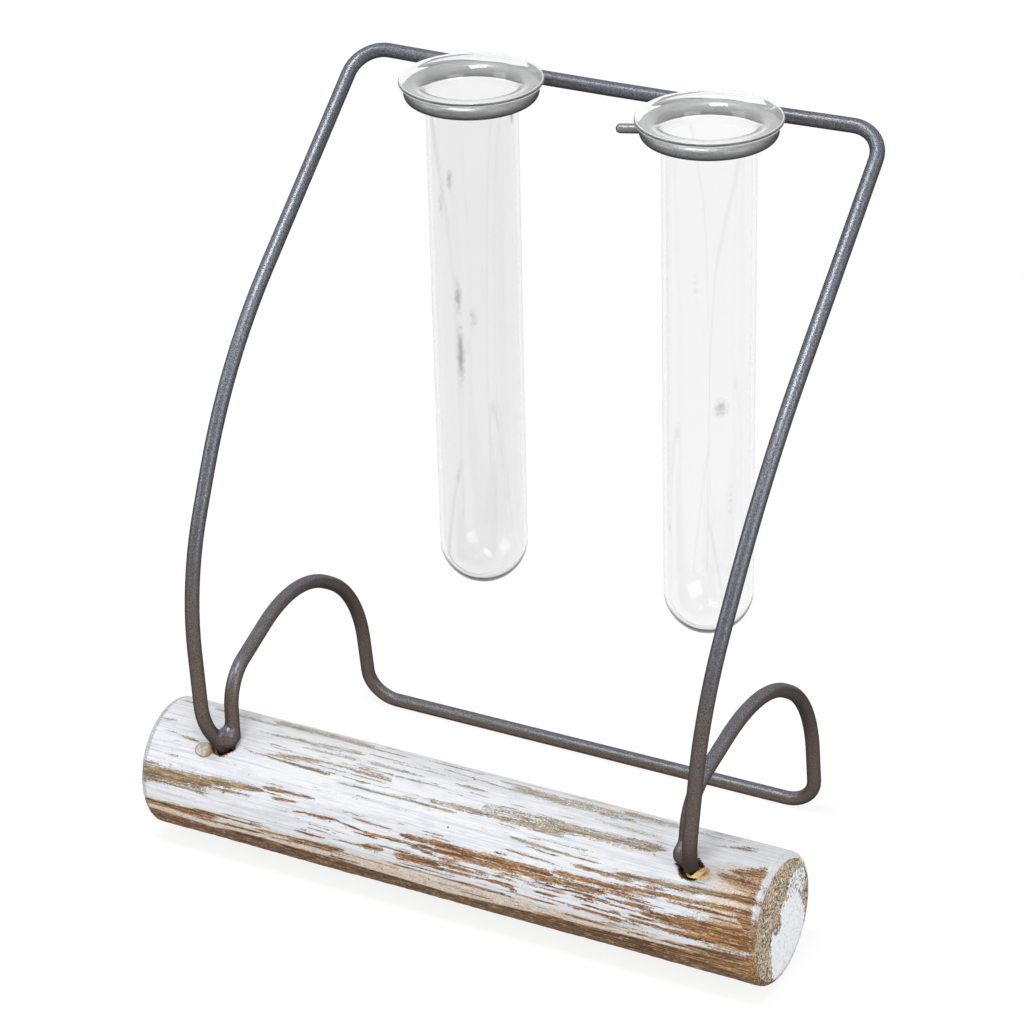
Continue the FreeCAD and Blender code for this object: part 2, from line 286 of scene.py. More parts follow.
# ramps: how far along a pattern's value each colour lies
WOOD_RAMP = [(0, rgb(204, 195, 176)), (0.35, rgb(170, 144, 110)), (0.6, rgb(174, 120, 70)),
             (0.8, rgb(196, 142, 78)), (1, rgb(134, 90, 46))]
END_RAMP = [(0.32, rgb(160, 136, 106)), (0.5, rgb(212, 196, 170)), (0.68, rgb(238, 230, 214))]
TORN_RAMP = [(0.3, rgb(210, 146, 72)), (0.5, rgb(248, 208, 138)), (0.7, rgb(253, 238, 200))]
GLUE_RAMP = [(0.35, rgb(170, 146, 120)), (0.5, rgb(204, 192, 176)), (0.65, rgb(218, 212, 204))]

# in mm: sizes of the patterns, along the log and across it, and depths of the relief
LONG_GRAIN = (15, 0.8)
FINE_GRAIN = (2.6, 0.26)
SPECKLE = (0.55, 0.2)
WOOD_STREAKS = (9, 0.42)
PAINT_STREAKS = (26, 0.6)
PAINT_BLOTCHES = (7, 3)
PIT_SPACING = 3.8
END_RAGGED = (0.9, 0.9)
END_PORES = (0.6, 0.6)
END_BROAD = (4, 4)
METAL_FLAKES = (0.28, 0.28)
METAL_BROAD = (9, 6)
GLASS_RUBS = (1.2, 1.2)
GLUE_CLOUDS = (0.9, 0.9)
TORN_FIBRES = (0.6, 0.2)
WHITEWASH_RELIEF = 0.22
END_RELIEF = 0.3
METAL_RELIEF = 0.03
GLUE_RELIEF = 0.08
TORN_RELIEF = 0.15
# heights over the table between which the wires' paint turns dull
DULL_HEIGHTS = (mm(120), mm(45))
GLASS_INDEX = 1.47


def whitewash(name):
    # paint, worn through to the wood where the log's value "bare" is over about a half
    g = Graph(name)
    long_grain = g.grain(LONG_GRAIN, detail=4)
    fine_grain = g.grain(FINE_GRAIN, detail=4, shift=3.1)
    speckle = g.grain(SPECKLE, detail=2, shift=7.7)
    bare = g.plus(g.painted("bare"), g.spread(long_grain, -0.5, 0.5),
                  g.spread(fine_grain, -0.8, 0.8), g.spread(speckle, -0.75, 0.75))
    is_bare = g.step(bare, 0.48, 0.52)
    # painted shade: the wood darkens just inside the worn paint's edge
    rim = g.step(bare, 0.6, 0.5)

    warm = g.painted("warm")
    wood = g.colours(warm, WOOD_RAMP)
    wood_streaks = g.grain(WOOD_STREAKS, detail=4, shift=21.3)
    wood = g.mix(g.step(fine_grain, 0.54, 0.61, top=0.8), wood, PALE_WOOD)
    # dark grain streaks and specks, and the painted shade along the paint's edge
    dark = g.most(g.step(wood_streaks, 0.53, 0.46), g.step(speckle, 0.49, 0.4), rim)
    wood = g.mix(g.times(dark, g.spread(warm, 0.5, 0.95)), wood, DARK_WOOD)

    streaks = g.grain(PAINT_STREAKS, detail=4, shift=12.5)
    blotches = g.grain(PAINT_BLOTCHES, detail=3, shift=30.2)
    paint = g.mix(g.step(streaks, 0.44, 0.66), COOL_WHITE, GREY_WHITE)
    paint = g.mix(g.step(blotches, 0.5, 0.7, top=0.5), paint, GREY_WHITE)
    thin = g.plus(g.painted("thin"), g.spread(streaks, -0.4, 0.4), g.spread(blotches, -0.3, 0.3))
    stain = g.mix(g.step(fine_grain, 0.49, 0.4), THIN_PAINT, STAINED_PAINT)
    stain = g.mix(g.step(speckle, 0.5, 0.62), stain, COOL_WHITE)
    paint = g.mix(g.step(thin, 0.1, 1.0), paint, stain)
    grime = g.painted("grime")
    grimy = g.step(g.plus(grime, g.spread(fine_grain, -0.5, 0.5)), 0.15, 0.85)
    paint = g.mix(g.times(grimy, grime), paint, GRIMY_PAINT)
    spots = g.times(g.step(speckle, 0.46, 0.38, top=0.7), g.step(grime, 0.2, 0.7))
    paint = g.mix(spots, paint, DARK_WOOD)
    pit, chance = g.pits(PIT_SPACING)
    hole = g.times(g.step(pit, 0.10, 0.05), g.math("GREATER_THAN", chance, 0.7))
    paint = g.mix(g.times(hole, 0.85), paint, DARK_WOOD)

    height = g.plus(g.times(is_bare, -0.6), g.times(fine_grain, 0.9),
                    g.times(wood_streaks, 0.4), g.times(speckle, 0.3))
    g.bump(g.math("SUBTRACT", height, hole), WHITEWASH_RELIEF)
    return g.finish(g.mix(is_bare, paint, wood), g.spread(is_bare, 0.6, 0.88))


def end_grain(name):
    # the log's sawn ends: porous wood, with paint left where the value "bare" is low
    g = Graph(name)
    ragged = g.grain(END_RAGGED, detail=4, shift=1.7)
    pores = g.grain(END_PORES, detail=4, shift=5.2)
    broad = g.grain(END_BROAD, detail=2, shift=8.1)
    bare = g.plus(g.painted("bare"), g.spread(ragged, -0.7, 0.7))
    is_bare = g.step(bare, 0.47, 0.53)
    wood = g.colours(ragged, END_RAMP)
    wood = g.mix(g.step(broad, 0.46, 0.6, top=0.4), wood, END_YELLOW)
    pore = g.step(g.plus(pores, g.spread(broad, -0.12, 0.12)), 0.5, 0.45)
    wood = g.mix(g.times(pore, 0.88), wood, DARK_WOOD)
    # painted shade: the wood darkens just beyond the edge of the paint patches
    wood = g.mix(g.step(bare, 0.62, 0.5, top=0.75), wood, DARK_WOOD)
    paint = g.mix(g.step(ragged, 0.45, 0.65), COOL_WHITE, GREY_WHITE)
    paint = g.mix(g.painted("grime"), paint, GRIMY_PAINT)
    g.bump(g.math("SUBTRACT", g.times(ragged, 0.7), g.times(pore, is_bare)), END_RELIEF)
    return g.finish(g.mix(is_bare, paint, wood), 0.8)


def satin_paint(name, body, worn, dark, flake):
    # grey paint with metal flakes, which shines where it faces the viewer or up. Its colour holds
    # painted
    # light and shade: lighter where it faces the viewer or up, with painted shade at its edges and
    # undersides. It is duller and browner low down where it doesn't face up
    g = Graph(name)
    flakes = g.grain(METAL_FLAKES, detail=3)
    broad = g.grain(METAL_BROAD, detail=3, shift=4.4)
    tilt = g.height(g.normal)
    upward = g.step(tilt, 0.25, 0.8)
    # painted shade: how far the wire faces down
    shaded_underside = g.step(tilt, 0.0, -0.7)
    # painted light: the colour is lighter where the wire faces the viewer or up
    painted_light = g.most(g.step(g.add("LayerWeight").outputs["Facing"], 0.75, 0.08), upward)
    low = g.times(g.step(g.height(g.place), *DULL_HEIGHTS), g.spread(upward, 1, 0.3))
    # painted shade: the colour at the wire's edges, where it turns away from the viewer
    edge = g.mix(g.times(low, 0.4), dark, SLATE_DULL)
    colour = g.mix(g.step(broad, 0.45, 0.7), body, worn)
    colour = g.mix(g.times(low, 0.85), colour, SLATE_DULL)
    colour = g.mix(painted_light, edge, colour)
    # painted shade on the undersides
    colour = g.mix(g.times(shaded_underside, 0.6), colour, SLATE_SHADE_AND_FLECKS)
    colour = g.mix(g.step(flakes, 0.5, 0.36, top=0.5), colour, dark)
    g.finish(colour, 0.6, Specular_IOR_Level=0)
    normal = g.bump(g.plus(flakes, g.times(broad, 0.5)), METAL_RELIEF)
    shine = g.add("BsdfAnisotropic", {"Color": flake, "Roughness": 0.36, "Normal": normal})
    share = g.times(g.spread(painted_light, 0.3, 1.0), g.spread(g.step(flakes, 0.4, 0.62), 0.03, 0.14),
                    g.spread(low, 1.0, 0.5), g.spread(upward, 1.0, 1.7),
                    g.spread(shaded_underside, 1.0, 0.3))
    g.show(g.blend(share, g.surface.outputs[0], shine.outputs[0]))
    return g.material


def clear_glass(name, tint):
    # clear, with painted shade at its edges and rubbed in places; along the fired lip it is
    # painted white as a highlight, with a painted dark line across it
    g = Graph(name)
    rub = g.grain(GLASS_RUBS, detail=3)
    # painted shade: the glass is darker at its edges, where they turn away from the viewer
    edge = g.step(g.add("LayerWeight").outputs["Facing"], 0.72, 1.0)
    # smudges on the glass, and the painted dark line along the lip
    smudge = g.painted("smudge")
    mark = g.times(g.step(g.plus(smudge, g.spread(rub, -0.5, 0.5)), 0.25, 0.9), smudge)
    colour = g.mix(mark, g.mix(edge, tint, GLASS_EDGE_SHADE), GLASS_SMUDGE_AND_LINE_SHADE)
    g.finish(colour, 0.0, Transmission_Weight=1.0, IOR=GLASS_INDEX)
    white = g.add("BsdfDiffuse", {"Color": GLASS_LIP_HIGHLIGHT})
    clear = g.add("BsdfTransparent", {"Color": GLASS_SHADOW})
    # painted highlight: white on the lip and a little on the flare
    glass = g.blend(g.times(g.painted("lip"), 0.7), g.surface.outputs[0], white.outputs[0])
    shadow = g.add("LightPath").outputs["Is Shadow Ray"]
    g.show(g.blend(shadow, glass, clear.outputs[0]))
    return g.material


def dried_glue(name):
    g = Graph(name)
    cloud = g.grain(GLUE_CLOUDS, detail=4)
    colour = g.colours(cloud, GLUE_RAMP)
    # painted glint: amber on the drop's right side, as if light shone through it
    colour = g.mix(g.times(g.painted("warm"), 0.8), colour, GLUE_AMBER_GLINT)
    # painted shade: darker around the drop's edge, where it meets the log
    colour = g.mix(g.times(g.painted("grime"), 0.85), colour, GLUE_EDGE_SHADE)
    g.bump(cloud, GLUE_RELIEF)
    return g.finish(colour, 0.3, Subsurface_Weight=0.15)


def torn_wood(name):
    g = Graph(name)
    fibre = g.grain(TORN_FIBRES, detail=4)
    colour = g.colours(fibre, TORN_RAMP)
    g.bump(fibre, TORN_RELIEF)
    return g.finish(colour, 0.7)


# log: where the paint is worn through. A streak runs between two places along the log, in mm from
# its middle, and two angles, in degrees forward of its top, with a half width in degrees at each
# end. The last value is how bare it is.

FRONT_STREAKS = [
    (-93, -70, 71, 67, 7.5, 5.5, 1), (-72, -54, 64, 60.5, 3.8, 1.8, 1),
    (-72, -57, 70, 68, 1.6, 1, 0.72), (-91, -70, 77, 76, 1.2, 0.8, 0.7),
    (-92, -86, 62, 60.5, 0.6, 0.4, 0.8), (-73, -70, 78, 78.5, 0.7, 0.5, 0.9),
    (-54, -38, 57, 55.5, 1.6, 1, 0.85), (-51, -42, 64.5, 62, 1.4, 0.7, 0.8),
    (-53, -47, 60.5, 60.5, 0.6, 0.4, 0.8), (-90, -87, 19, 18, 1.2, 0.8, 0.9),
    (-89, -83, 30, 30, 0.5, 0.5, 0.7), (-83, -77, 31.5, 33, 1, 0.8, 0.8),
    (-63, -52, 30, 29.5, 0.5, 0.8, 0.7), (-54, -40, 26, 22, 1.3, 2, 0.75),
    (-56, -36, 30, 31.3, 0.9, 1.5, 0.85), (-46, -18, 21, 21.5, 0.7, 0.8, 0.8),
    (-46, -19, 26, 26, 0.5, 0.6, 0.75), (-44, -18, 29.5, 30.5, 0.6, 0.5, 0.7),
    (-60, -30, 5.5, 1, 1.2, 2.2, 0.6), (-48, -30, 11, 9.5, 1, 1.4, 0.58),
    (-44, -30, 70.5, 68.5, 0.7, 1.2, 0.85), (-90, -86, -12, -11, 1.6, 1.5, 0.9),
    (-80, -58, -12, -10, 2, 2, 0.56), (-62, -30, -18, -17, 5, 4, 0.6),
    (-92, -68, 100, 98, 3.2, 2.8, 1), (-68, -54, 95, 95, 1, 0.8, 0.85),
    (-67, -53, 103.5, 102.5, 1.2, 1, 0.85), (-54, -39, 98.5, 97, 1.2, 1, 0.85),
    (-52, -30, 104, 100, 1, 0.8, 0.8), (-42, -28, 97, 96, 1, 2.4, 0.85),
    (-25, -13, 63, 64, 0.8, 0.5, 0.8), (-32, -22, 68.5, 72, 0.8, 0.7, 0.85),
    (-23, -4, 72, 73, 0.6, 0.8, 0.9), (-11, 34, 66, 66, 2, 3.2, 0.82),
    (-7, 36, 71.5, 71, 2, 2.8, 0.88), (-31, -20, 86.5, 86, 0.6, 0.8, 0.85),
    (-23, -16, 85.5, 84, 2.2, 3, 0.85), (-19, -11, 81, 81, 0.6, 0.6, 0.85),
    (-12, 1, 85, 84, 4.2, 3.5, 0.85), (0, 11, 81, 82, 2.2, 1.8, 0.72),
    (-2, 21, 87.5, 85.5, 1.6, 0.7, 0.9), (20, 24, 86, 88.5, 1.8, 2.2, 0.85),
    (-16, 23, 95, 96.5, 0.7, 0.6, 0.75), (-33, 3, 36.3, 36, 0.7, 0.9, 0.85),
    (-29, -9, 16, 16.5, 0.7, 0.6, 0.75), (-28, -9, 9, 10, 1.5, 1.2, 0.6),
    (-7, 34, 31, 28.5, 1.5, 4, 0.64), (8, 34, 25, 22, 2.5, 4, 0.52),
    (-8, 14, -9, -3, 0.9, 0.9, 0.7), (13, 46, -8, -7, 5, 6, 0.6),
    (19, 32, 55, 56, 0.5, 0.8, 0.85), (20, 33, 44, 46, 1.2, 0.8, 0.8),
    (24, 43, 40, 38.5, 0.5, 0.5, 0.75), (28, 35, 49, 49.5, 0.6, 0.6, 0.8),
    (30, 60, 24.5, 21.5, 4.5, 3.6, 0.66), (50, 60, 17.5, 17, 0.7, 0.7, 0.8),
    (57, 61.5, 21, 20.5, 3, 1.5, 0.95), (44, 61, -15, -15, 5, 5, 0.6),
    (30, 46, 45.5, 46.5, 0.9, 0.7, 0.8), (30, 34, 56, 56, 0.6, 0.6, 0.85),
    (39, 56, 53, 53.5, 1.4, 1.6, 0.85), (51, 75, 50.5, 48, 1.6, 2.6, 0.9),
    (70, 89, 47.5, 44, 2.4, 2, 0.95), (60, 66, 54, 54, 1, 0.6, 0.8),
    (34, 56, 63, 62, 2.2, 2, 0.9), (52, 90, 60.5, 54, 1.6, 2.2, 0.88),
    (30, 50, 70, 69, 3, 2, 0.88), (47, 62, 69, 67, 1, 0.6, 0.7),
    (60, 93, 77.5, 76, 2, 11, 1), (66, 93, 87, 84, 1.5, 6, 1),
    (55, 75, 86, 88, 1.2, 1.5, 0.85), (50, 56, 90.5, 88.5, 0.8, 1, 0.85),
    (30, 36.5, 84, 83.5, 1.5, 0.9, 1), (43.5, 47, 84, 84, 1.1, 0.7, 0.95),
    (43, 47, 78.5, 77.5, 1, 0.7, 0.9), (57, 63, 99.5, 99, 0.9, 0.7, 0.8),
    (66, 78, 99.5, 99, 1, 0.8, 0.85), (72, 93, 97, 96, 1, 6.5, 1),
    (77, 93, 30, 32, 1, 11, 0.72), (82, 93, 44, 45, 1.5, 6, 0.9), (80, 93, 24, 16, 1, 9, 0.66),
    (86, 93, 60, 66, 3, 22, 0.95), (73, 84, 0, -8, 0.8, 3.5, 0.6),
]
# the paint's lower edge: place along the log and angle
BOTTOM_EDGE = [(-92, 107), (-70, 113), (-62, 109), (-31, 110), (2, 114), (40, 107), (92, 100)]
BOTTOM_BACK_EDGE = 212
STREAK_SEED = 11
# streaks too small to place one by one: how many, the places and angles that they start in, and
# their lengths, half widths and bareness
SMALL_STREAKS = [
    (70, (-45, 92), (58, 92), (2, 11), (0.3, 1), (0.6, 0.9)),
    (46, (-10, 92), (60, 90), (3, 16), (0.4, 1.2), (0.6, 0.9)),
    (44, (-90, 80), (90, 108), (3, 18), (0.25, 0.7), (0.6, 0.85)),
    (40, (-60, 60), (12, 36), (3, 16), (0.25, 0.7), (0.55, 0.75)),
    (26, (-60, 60), (-28, 8), (6, 28), (0.4, 1.6), (0.55, 0.7)),
    (16, (-92, 92), (38, 58), (2, 9), (0.25, 0.5), (0.6, 0.8)),
]
BACK_STREAKS = [
    (100, (-95, 88), (212, 318), (4, 50), (0.3, 1.3), (0.56, 0.9)),
    (14, (-95, 60), (212, 318), (20, 60), (1.5, 4), (0.52, 0.6)),
]

# how a streak's bareness falls off beside its middle line, past its ends, in mm, and near its
# tips, unless it runs off the log's right end
STREAK_CREST, STREAK_SKIRT, STREAK_PAST = 1.4, 0.5, 2.5
STREAK_TIP, STREAK_TIP_DROP, RUNS_OFF = 2, 0.3, 90
PAINTED_BARE = 0.04
BOTTOM_EDGE_WIDTH, BOTTOM_BARE = 6, 1.2

# Below, each pair is a soft edge, from where a thing starts to where it is full. A sharp one is
# short. First, how warm bare wood's colour is at the top, and what it gains over which angles.
SHARP = 0.01
WARM_TOP = 0.08
WARM_GAINS = [((12, 26), 0.14), ((42, 64), 0.38), ((90, 106), 0.4), ((-30, -30 - SHARP), 0.2)]
# patches of the side, each as an edge along the log, in mm, and two in degrees, that shift the
# colour, and then those with a colour of their own
WARM_SHIFTS = [
    (((-48, -58), (40, 40 + SHARP), (86, 78)), -0.27),
    (((-62, -80), (88, 88 + SHARP), (116, 108)), -0.2),
]
WARM_PATCHES = [
    (((74, 86), (-20, -20 + SHARP), (64, 64 - SHARP)), 0.6),
    (((60, 80), (84, 84 + SHARP), (124, 112)), 0.78),
]
# thin paint: low on the front, in a patch by the distance from the right end, and at the back
THIN_LOW, THIN_MOST = (84, 106), 0.95
THIN_END = ((20, 8), (6, 24), (84, 70))
THIN_BACK, THIN_BACK_MOST = (-8, -20), 0.25
# paint and grime on the rims, by the distance from the end, and the grime at the back
RIGHT_RIM = ((1.9, 1.2), (-40, -40 + SHARP), (84, 60))
RIGHT_RIM_PAINT, RIGHT_RIM_GRIME = 0.42, 0.4
LEFT_RIM, LEFT_RIM_GRIME = (2.6, 1.7), 0.6
BACK_FROM, BACK_GRIME = -20, 0.12

# right end: white patches on the sawn face, as (across, up, half width, half height) in mm from
# its middle, and the lobe of bare wood that cuts into the largest
END_PATCHES = [(3.4, -7, 10.6, 11.4), (9, 5, 5.6, 5), (2.4, -13, 8.6, 6.4)]
END_PATCH_WEIGHTS = [1, 0.55, 1]
END_LOBE = (-2.6, 0.2, 2.4, 3.2)
END_PATCH_SLOPE = 2.5
END_RIM_PAINT, END_RIM_PAINT_SHARE = (15, 16.4), 0.25
END_RIM_GRIME, END_RIM_GRIME_SHARE = (15.4, 16.4), 0.4
LEFT_END_TURN = 145

# the log's mesh: steps along it and around it, finer on the front, and its rounded ends
LOG_STEP = mm(0.66)
FRONT_ANGLE_STEP, BACK_ANGLE_STEP = 0.9, 2.2
FRONT_ANGLES = (-40, 145)
END_ROUND = mm(1.6)
ROUND_STEPS, CAP_RINGS = 6, 22

# the skin's unevenness: length of its features, their width, the noise's shift, and the height
BROAD_RIPPLE, BROAD_HEIGHT = (mm(40), mm(9), 0), mm(0.16)
RIDGE_RIPPLE, RIDGE_HEIGHT = (mm(14), mm(0.9), 5), mm(0.09)
ROUGH_RIPPLE, ROUGH_HEIGHT = (mm(2.2), mm(0.5), 9), mm(0.05)
SAW_RIPPLE, SAW_HEIGHT = (mm(50), mm(1.4), 2), mm(0.12)
BARE_EDGE, BARE_DEPTH = (0.35, 0.65), mm(0.16)
RUFFLED_EDGE, RUFFLED_HEIGHT = (0.45, 0.7), mm(0.10)
SAWN_BARE, SAWN_HEIGHT = 0.4, mm(0.08)

# the drilled holes: the side, and the way that a chip is torn out of the edge, as an angle
HOLES = {"left": (-1, 0), "right": (1, pi)}
HOLE_RADIUS, HOLE_WALL, HOLE_DEPTH = mm(3), mm(0.7), mm(15)
NOTCH_DEPTH, NOTCH_HALF_ANGLE = mm(1.0), 0.4
TORN_EDGE, TORN_LUMPS, TORN_SHIFT = mm(0.35), 2, 3
RAW_WIDTH, RAW_FADE = mm(0.5), mm(1.0)
RAW_BARE, RAW_WARM = 1.1, 0.75

# a face of the frame's log is of its sawn end when it faces along the log by one share and lies
# beyond the other share of the log's half length
END_FACING_SHARE, END_PLACE_SHARE = 0.95, 0.95

log_low, log_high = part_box("log")
log_radius = (log_high.z - log_low.z) / 2
log_axis = Vector((0, (log_low.y + log_high.y) / 2, log_low.z + log_radius))


def end_plane(side):
    # middle and outward normal of the log's sawn end, read off the frame
    mesh = frame["nodes"]["log"].data
    normal, middle, area = Vector(), Vector(), 0
    for face in mesh.polygons:
        faces_out = face.normal.x * side > END_FACING_SHARE
        if faces_out and face.center.x * side > END_PLACE_SHARE * log_high.x:
            normal += face.normal * face.area
            middle += face.center * face.area
            area += face.area
    return middle / area, normal.normalized()


log_ends = {side: end_plane(side) for side in (-1, 1)}


def end_x(side, y, z):
    # where a line along the log comes out of its sawn end
    middle, normal = log_ends[side]
    return middle.x - ((y - middle.y) * normal.y + (z - middle.z) * normal.z) / normal.x


def hole_axis(side_name):
    # where the hole's axis meets the log's, and its direction out of the log
    low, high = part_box(side_name + "_glue")
    middle = (low + high) / 2
    start = Vector((middle.x, log_axis.y, log_axis.z))
    return start, (middle - start).normalized()


def streak_value(along, angle, streak):
    start, end, angle_a, angle_b, half_a, half_b, peak = streak
    share = np.clip((along - start) / (end - start), 0, 1)
    half = half_a + (half_b - half_a) * share
    aside = np.abs(angle - (angle_a + (angle_b - angle_a) * share)) / half
    slope = np.where(aside < 1, (peak - 0.5) * STREAK_CREST, STREAK_SKIRT)
    past = np.maximum(np.maximum(start - along, along - end), 0) / STREAK_PAST
    from_tip = np.minimum(along - start, np.inf if end > RUNS_OFF else end - along)
    tip = STREAK_TIP_DROP * (1 - np.clip(from_tip / STREAK_TIP, 0, 1))
    return 0.5 + (1 - aside) * slope - past - tip


def scattered(count, along, angles, lengths, halves, peaks, draw):
    # streaks strewn over a part of the log
    streaks = []
    for _ in range(count):
        start, angle = draw.uniform(*along), draw.uniform(*angles)
        length, half = draw.uniform(*lengths), draw.uniform(*halves)
        streaks.append((start, start + length, angle, angle + draw.uniform(-0.05, 0.05) * length,
                        half, half * draw.uniform(0.4, 1.3), draw.uniform(*peaks)))
    return streaks


def bare_field(along, angle, forward):
    bare = np.full_like(along, PAINTED_BARE)
    draw = random.Random(STREAK_SEED)
    small = [streak for stretch in SMALL_STREAKS for streak in scattered(*stretch, draw)]
    for streak in FRONT_STREAKS + small:
        bare = np.maximum(bare, streak_value(along, forward, streak))
    for stretch in BACK_STREAKS:
        for streak in scattered(*stretch, draw):
            bare = np.maximum(bare, streak_value(along, angle, streak))
    edge = np.interp(along, *zip(*BOTTOM_EDGE))
    bottom = np.minimum(angle - edge, BOTTOM_BACK_EDGE - angle) / BOTTOM_EDGE_WIDTH + 0.5
    return np.maximum(bare, np.minimum(bottom, BOTTOM_BARE))


def patch_share(place, forward, patch):
    # how far inside a patch a point lies, by its place in mm and its angle
    share = smooth_step(*patch[0], place)
    for edge in patch[1:]:
        share = share * smooth_step(*edge, forward)
    return share


def warm_field(along, forward):
    warm = WARM_TOP
    for edge, gain in WARM_GAINS:
        warm = warm + gain * smooth_step(*edge, forward)
    for patch, shift in WARM_SHIFTS:
        warm = warm + shift * patch_share(along, forward, patch)
    for patch, own in WARM_PATCHES:
        warm = warm + (own - warm) * patch_share(along, forward, patch)
    return warm


def side_fields(along, angle, from_left, from_right):
    # how bare, warm in colour, thin in paint and grimy each point of the side is, by its place
    # along the log, its angle and its distance from each end, in mm and degrees
    forward = np.where(angle > 180, angle - 360, angle)
    rim = patch_share(from_right, forward, RIGHT_RIM)
    bare = bare_field(along, angle, forward) - RIGHT_RIM_PAINT * rim
    thin = THIN_MOST * smooth_step(*THIN_LOW, forward)
    thin = thin + THIN_MOST * patch_share(from_right, forward, THIN_END)
    thin_back = THIN_BACK_MOST * smooth_step(*THIN_BACK, forward)
    thin = np.where(forward < THIN_BACK[0], thin_back, thin) * (1 - rim)
    left_grime = LEFT_RIM_GRIME * smooth_step(*LEFT_RIM, from_left)
    grime = np.maximum(RIGHT_RIM_GRIME * rim, left_grime)
    grime = np.maximum(grime, BACK_GRIME * (forward < BACK_FROM))
    return bare, warm_field(along, forward), thin, grime


def end_patch_value(across, up, patch):
    middle_across, middle_up, half_width, half_height = patch
    return 1 - np.hypot((across - middle_across) / half_width, (up - middle_up) / half_height)


def cap_fields(across, up, side):
    # how bare and grimy each point of a sawn end is, by its place in mm from the middle; the left
    # end, which the photograph doesn't show, has the same paint, turned
    if side < 0:
        turn = radians(LEFT_END_TURN)
        across, up = (across * cos(turn) - up * sin(turn),
                      across * sin(turn) + up * cos(turn))
    paint = np.full_like(across, -1.0)
    for patch, weight in zip(END_PATCHES, END_PATCH_WEIGHTS):
        value = end_patch_value(across, up, patch)
        paint = np.maximum(paint, np.minimum(value * END_PATCH_SLOPE + 0.5, weight))
    paint = np.minimum(paint, 0.5 - end_patch_value(across, up, END_LOBE) * END_PATCH_SLOPE)
    from_middle = np.hypot(across, up)
    rim_paint = END_RIM_PAINT_SHARE * smooth_step(*END_RIM_PAINT, from_middle)
    grime = END_RIM_GRIME_SHARE * smooth_step(*END_RIM_GRIME, from_middle)
    return 1 - np.maximum(paint, rim_paint), grime


def ripple(points, length, width, shift):
    # smooth noise with features this long along the log and this wide across it
    return np.array([noise.noise((x / length, y / width + shift, z / width))
                     for x, y, z in points])


def log_rows():
    # rings of points from the middle of the left end to that of the right one: each one's side
    # (0 between the ends), whether it lies on the sawn face, its radius, and its distance in
    # from the end or, between the ends, its share of the way
    flat = log_radius - END_ROUND
    cap = [(True, flat * ring / CAP_RINGS, 0) for ring in range(1, CAP_RINGS + 1)]
    for number in range(1, ROUND_STEPS):
        bend = pi / 2 * number / ROUND_STEPS
        cap.append((False, flat + END_ROUND * sin(bend), END_ROUND * (1 - cos(bend))))
    steps = int((log_high.x - log_low.x - 2 * END_ROUND) / LOG_STEP)
    side = [(0, False, log_radius, number / steps) for number in range(steps + 1)]
    return [(-1, *row) for row in cap] + side + [(1, *row) for row in reversed(cap)]


def row_places(rows, out_y, out_z):
    places = []
    for side, _, radius, value in rows:
        y, z = log_axis.y + out_y * radius, log_axis.z + out_z * radius
        left, right = end_x(-1, y, z), end_x(1, y, z)
        if side == 0:
            x = left + END_ROUND + (right - left - 2 * END_ROUND) * value
        else:
            x = left + value if side < 0 else right - value
        places.append(np.stack([x, y, z], 1))
    return np.concatenate(places)


def roughen(places, outward, bare, is_cap, row_side):
    # broad unevenness, ridges along the grain and hollows where the paint is gone on the side,
    # saw marks on the ends
    rough = ripple(places, *ROUGH_RIPPLE)
    lift = (BROAD_HEIGHT * ripple(places, *BROAD_RIPPLE)
            + RIDGE_HEIGHT * ripple(places, *RIDGE_RIPPLE)
            + ROUGH_HEIGHT * rough - BARE_DEPTH * smooth_step(*BARE_EDGE, bare)
            + smooth_step(*RUFFLED_EDGE, bare) * RUFFLED_HEIGHT * rough)
    saw = ripple(places, *SAW_RIPPLE) * SAW_HEIGHT + rough * SAWN_HEIGHT * (bare > SAWN_BARE)
    places = places + outward * np.where(is_cap, 0, lift)[:, None]
    places[:, 0] += np.where(is_cap, row_side * saw, 0)
    return places


def drill(side_name, places, bare, warm):
    # points within a hole's torn edge go down its wall, and bare wood shows around it
    start, out = (np.array(vector) for vector in hole_axis(side_name))
    offset = places - start
    height = offset @ out
    radial = offset - height[:, None] * out
    away = np.linalg.norm(radial, axis=1)
    bearing = np.arctan2(radial @ np.cross(out, (1, 0, 0)), radial[:, 0])
    side, notch = HOLES[side_name]
    torn = np.array([noise.noise((cos(b) * TORN_LUMPS, sin(b) * TORN_LUMPS, side * TORN_SHIFT))
                     for b in bearing])
    from_notch = (bearing - notch) / NOTCH_HALF_ANGLE
    edge = HOLE_RADIUS + TORN_EDGE * torn + NOTCH_DEPTH * np.exp(-from_notch ** 2)
    inside = (away < edge) & (height > 0)
    depth = HOLE_DEPTH * smooth_step(0, HOLE_WALL, edge - away)
    places = np.where(inside[:, None], places - depth[:, None] * out, places)
    raw = (away < edge + RAW_WIDTH) & (height > 0)
    bare = np.where(raw, np.maximum(bare, RAW_BARE - (away - edge) / RAW_FADE), bare)
    return places, bare, np.where(raw, RAW_WARM, warm)


